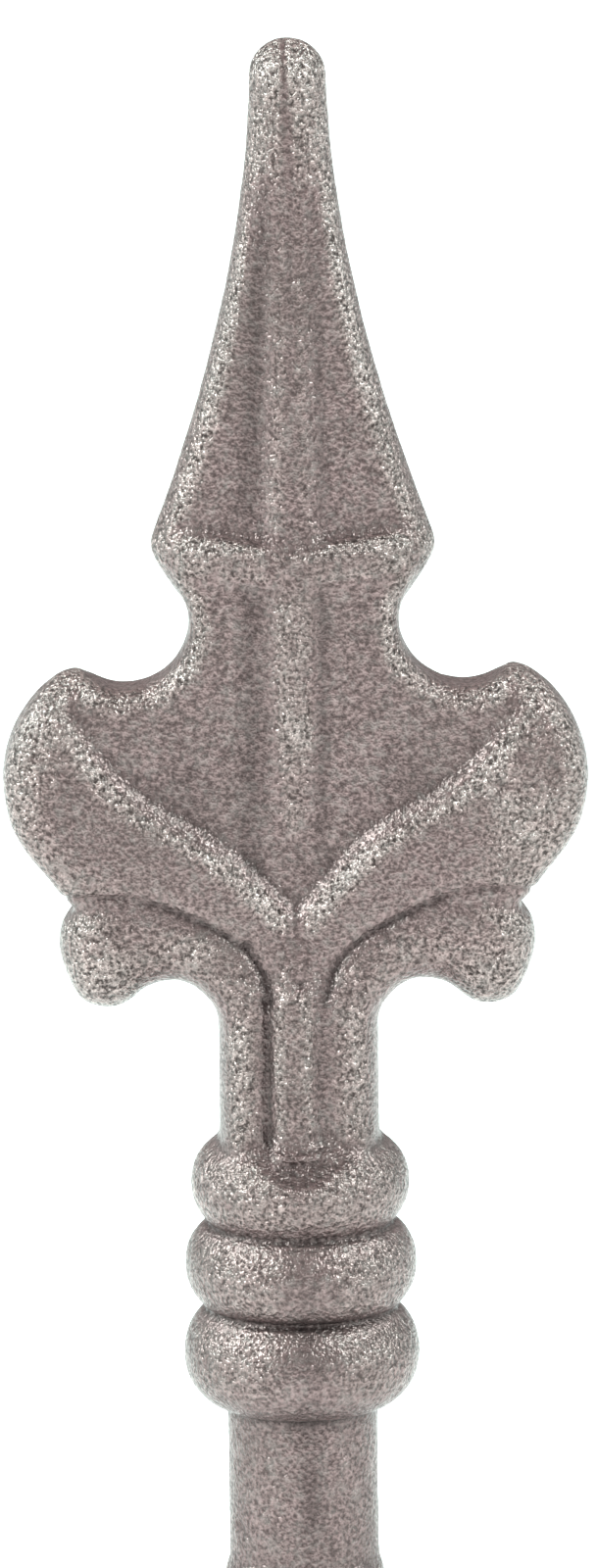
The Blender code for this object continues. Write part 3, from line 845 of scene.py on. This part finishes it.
def vertex_rows(mesh, name):
    """One vector of each vertex, as an array."""
    values = np.empty(len(mesh.vertices) * 3, np.float32)
    mesh.vertices.foreach_get(name, values)
    return values.reshape(-1, 3)


def carve(mesh):
    """Cuts the finer marks into the skin, and adds each one to the hollows that the iron's colour reads, so
    that painted shade darkens the marks, the pocket and the front's shaded places, and painted highlight
    lightens its lit ones.
    """
    points = vertex_rows(mesh, "co")
    outward = vertex_rows(mesh, "normal")
    sink = marks(points)
    points -= outward * sink[:, None]
    hollowed = pocket(points)
    # Painted shade from the marks' depth and the pocket, and the front's painted shade and highlight
    shade_and_highlight = sink / FULL_MARK + front_tones(points) + POCKET_SHADE * hollowed
    points[:, 1] -= np.sign(points[:, 1]) * POCKET_HALF_SIZE[1] * hollowed
    # The lumps stand a little proud of the plain solid, so each direction is drawn in until it fits its box
    far = np.abs(points).max(axis=0)
    points = points * np.minimum(1.0, np.array(cad_box[1]) / far)
    points[:, 2] = np.maximum(points[:, 2], 0.0)
    mesh.vertices.foreach_set("co", points.astype(np.float32).ravel())
    hollow = mesh.attributes["hollow"].data
    noted = np.empty(len(hollow), np.float32)
    hollow.foreach_get("value", noted)
    hollow.foreach_set("value", (noted + shade_and_highlight).astype(np.float32))
    mesh.update()


def make_finial():
    """The whole casting as one piece, which stands for the plain solid."""
    rough = bpy.data.objects.new("rough", melted_forms())
    bpy.context.scene.collection.objects.link(rough)
    tree = skin_tree(blasted_iron())
    skin = rough.modifiers.new("skin", "NODES")
    skin.node_group = tree
    for name, _, value in SKIN_SETTINGS:
        skin[socket_id(tree, name)] = value
    mesh = plain_mesh(rough)
    carve(mesh)
    finished = bpy.data.objects.new("finial_casting", mesh)
    bpy.context.scene.collection.objects.link(finished)
    bpy.data.objects.remove(rough)
    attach(finished, "root")
    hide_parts("finial")


def make_floor():
    """A plain white sheet that the finial's foot stands on."""
    bm = bmesh.new()
    bmesh.ops.create_grid(bm, x_segments=1, y_segments=1, size=FLOOR_HALF_SIZE)
    mesh = bpy.data.meshes.new("floor")
    bm.to_mesh(mesh)
    bm.free()
    floor = bpy.data.objects.new("floor", mesh)
    bpy.context.scene.collection.objects.link(floor)
    material = bpy.data.materials.new("white_paper")
    material.use_nodes = True
    shader = material.node_tree.nodes["Principled BSDF"]
    shader.inputs["Base Color"].default_value = srgb("#f4f4f4")
    shader.inputs["Roughness"].default_value = 0.9
    shader.inputs["Emission Color"].default_value = srgb("#ffffff")
    shader.inputs["Emission Strength"].default_value = 0.25
    mesh.materials.append(material)


def make_light():
    """A white tent, brighter at the sides, above and high up behind, with two soft boxes at each side."""
    world = bpy.data.worlds.new("tent")
    bpy.context.scene.world = world
    world.use_nodes = True
    tree = world.node_tree
    background = tree.nodes["Background"]
    facing = add_node(tree, "ShaderNodeTexCoord").outputs["Generated"]
    parts = add_node(tree, "ShaderNodeSeparateXYZ", Vector=facing)
    ways = {}
    for name, axis, operation in (("above", "Z", "MAXIMUM"), ("right", "X", "MAXIMUM"),
                                  ("left", "X", "MINIMUM"), ("behind", "Y", "MAXIMUM")):
        ways[name] = add_node(tree, "ShaderNodeMath", {"operation": operation}, _0=parts.outputs[axis],
                              _1=0.0).outputs["Value"]
    glow = {}
    strength = FRONT_LIGHT
    for name, other, share in (("above", "above", ABOVE_LIGHT), ("behind", "above", BEHIND_LIGHT),
                               ("right", "right", RIGHT_LIGHT), ("left", "left", LEFT_LIGHT)):
        glow[name] = add_node(tree, "ShaderNodeMath", {"operation": "MULTIPLY"}, _0=ways[name],
                              _1=ways[other]).outputs["Value"]
        strength = add_node(tree, "ShaderNodeMath", {"operation": "MULTIPLY_ADD"}, _0=glow[name],
                            _1=share, _2=strength).outputs["Value"]
    tree.links.new(strength, background.inputs["Strength"])
    sideways = add_node(tree, "ShaderNodeMath", {"operation": "ADD"}, _0=glow["right"], _1=glow["left"])
    tint = add_node(tree, "ShaderNodeMix", {"data_type": "RGBA"}, Factor=sideways.outputs["Value"],
                    _6=srgb(FRONT_TINT), _7=srgb(SIDE_TINT))
    tree.links.new(tint.outputs[2], background.inputs["Color"])
    for name, spot, power in SOFT_BOXES:
        lamp = bpy.data.lights.new(name, "AREA")
        lamp.shape = "RECTANGLE"
        lamp.size = BOX_WIDTH
        lamp.size_y = BOX_HEIGHT
        lamp.energy = power
        lamp.color = srgb(BOX_TINT)[:3]
        holder = bpy.data.objects.new(name, lamp)
        holder.location = spot
        holder.visible_camera = False
        holder.rotation_euler = (Vector(BOX_AIM) - Vector(spot)).to_track_quat("-Z", "Y").to_euler()
        bpy.context.scene.collection.objects.link(holder)
    view = bpy.context.scene.view_settings
    view.view_transform = "Standard"
    view.look = "None"


def make_camera():
    """A long lens that looks down on the finial and leans as the photograph does."""
    pixel = MM_PER_PIXEL * MM
    aim = Vector(((PHOTO_WIDTH / 2 - AXIS_PIXEL_X) * pixel, 0, AIM_HEIGHT))
    camera_data = bpy.data.cameras.new("camera")
    camera_data.sensor_fit = "VERTICAL"
    camera_data.angle = 2 * math.atan(PHOTO_HEIGHT / 2 * pixel / CAMERA_DISTANCE)
    camera = bpy.data.objects.new("camera", camera_data)
    spot = aim + CAMERA_DISTANCE * Vector((0, -math.cos(CAMERA_DOWN), math.sin(CAMERA_DOWN)))
    facing = (aim - spot).to_track_quat("-Z", "Y").to_matrix().to_4x4()
    camera.matrix_world = Matrix.Translation(spot) @ facing @ Matrix.Rotation(-CAMERA_LEAN, 4, "Z")
    bpy.context.scene.collection.objects.link(camera)
    bpy.context.scene.camera = camera


make_finial()
make_floor()
make_light()
make_camera()
